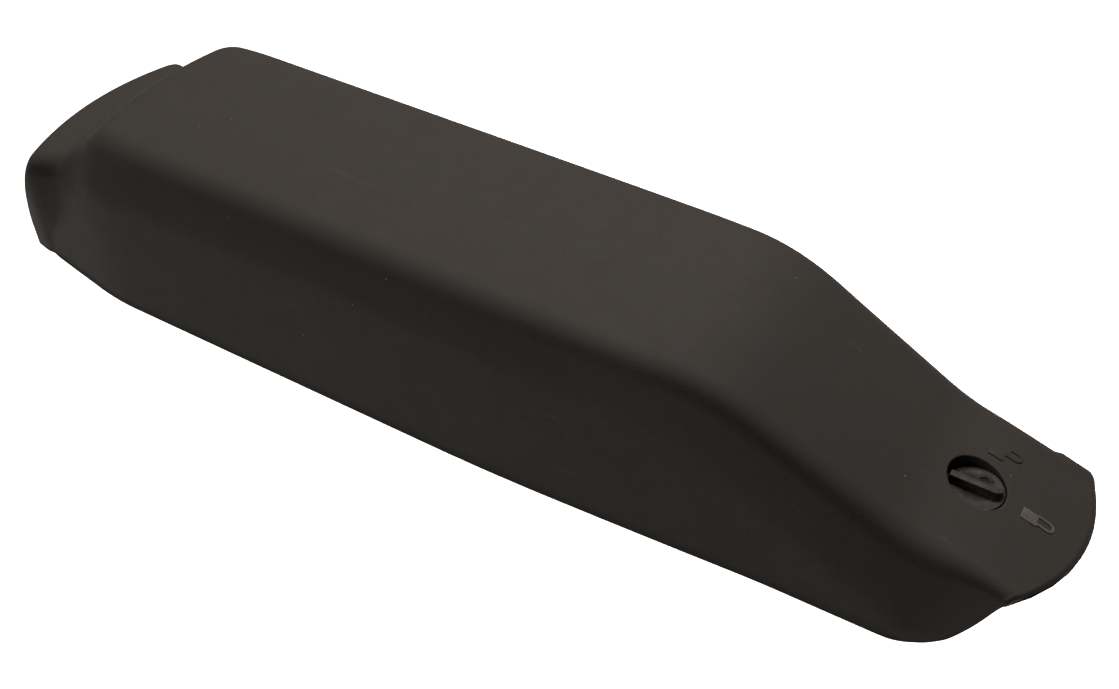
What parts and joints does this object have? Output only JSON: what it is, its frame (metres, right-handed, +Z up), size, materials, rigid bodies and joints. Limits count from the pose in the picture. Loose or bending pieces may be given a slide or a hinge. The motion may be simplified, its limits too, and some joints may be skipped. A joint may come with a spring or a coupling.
{
  "type": "battery pack",
  "caption": "Slim black frame battery pack with a ledge at one end and a ramp to a tongue with a quarter-turn lock at the other.",
  "frame": {"origin": "below the middle of the pack, on the plane of the cover's rim and the tray's underside", "axes": "+X along the pack from the ledge end to the lock tongue, +Z up out of the cover"},
  "size_m": [0.477, 0.1196, 0.079],
  "materials": {
    "cover_plastic": "fine spark-textured black moulding",
    "tray_plastic": "black moulding",
    "knob_plastic": "black moulding, lightly rubbed on its edges",
    "seal_rubber": "black rubber",
    "zinc_steel": "bright zinc plate",
    "screw_steel": "black oxide",
    "cell_sleeve": "can in a plain blue-green shrink sleeve",
    "holder_plastic": "black moulding",
    "nickel": "bright nickel",
    "insulation_paper": "grey-green insulating board",
    "board_green": "green solder mask",
    "lead_red": "red silicone insulation",
    "lead_black": "black silicone insulation",
    "foam_grey": "closed-cell foam",
    "connector_plastic": "black moulding",
    "gauge_lens": "smoked translucent plastic"
  },
  "bodies": {
    "housing": {"top_cover": "cover_plastic", "base_tray": "tray_plastic", "perimeter_gasket": "seal_rubber", "cover_screw_1": "screw_steel", "cover_screw_2": "screw_steel", "cover_screw_3": "screw_steel", "cover_screw_4": "screw_steel", "lock_wave_washer": "zinc_steel", "cell_01": "cell_sleeve", "cell_02": "cell_sleeve", "cell_03": "cell_sleeve", "cell_04": "cell_sleeve", "cell_05": "cell_sleeve", "cell_06": "cell_sleeve", "cell_07": "cell_sleeve", "cell_08": "cell_sleeve", "cell_09": "cell_sleeve", "cell_10": "cell_sleeve", "cell_11": "cell_sleeve", "cell_12": "cell_sleeve", "cell_13": "cell_sleeve", "cell_14": "cell_sleeve", "cell_15": "cell_sleeve", "cell_16": "cell_sleeve", "cell_17": "cell_sleeve", "cell_18": "cell_sleeve", "cell_19": "cell_sleeve", "cell_20": "cell_sleeve", "near_cell_holder": "holder_plastic", "far_cell_holder": "holder_plastic", "nickel_strip_01": "nickel", "nickel_strip_02": "nickel", "nickel_strip_03": "nickel", "nickel_strip_04": "nickel", "nickel_strip_05": "nickel", "nickel_strip_06": "nickel", "nickel_strip_07": "nickel", "nickel_strip_08": "nickel", "nickel_strip_09": "nickel", "nickel_strip_10": "nickel", "nickel_strip_11": "nickel", "near_insulation_sheet": "insulation_paper", "far_insulation_sheet": "insulation_paper", "bms_board": "board_green", "foam_pad": "foam_grey", "cell_lead_negative": "lead_black", "cell_lead_positive": "lead_red", "output_lead_negative": "lead_black", "output_lead_positive": "lead_red", "balance_harness": "lead_black", "discharge_connector": "connector_plastic", "gauge_lens": "gauge_lens", "switch_board": "board_green"},
    "lock": {"lock_knob": "knob_plastic", "lock_seal": "seal_rubber", "lock_cam": "zinc_steel", "lock_cam_screw": "zinc_steel"},
    "button": {"power_button": "seal_rubber"}
  },
  "joints": [
    {"name": "lock_turn", "type": "hinge", "parent": "housing", "child": "lock", "pos_m": [0.1965, 0, 0.03825], "axis": [0, 0, 1], "range_deg": [0, 90]},
    {"name": "button_press", "type": "slide", "parent": "housing", "child": "button", "axis": [0.9682, 0, -0.2501], "range_m": [0, 0.0012], "stiffness_N_per_m": 500}
  ]
}
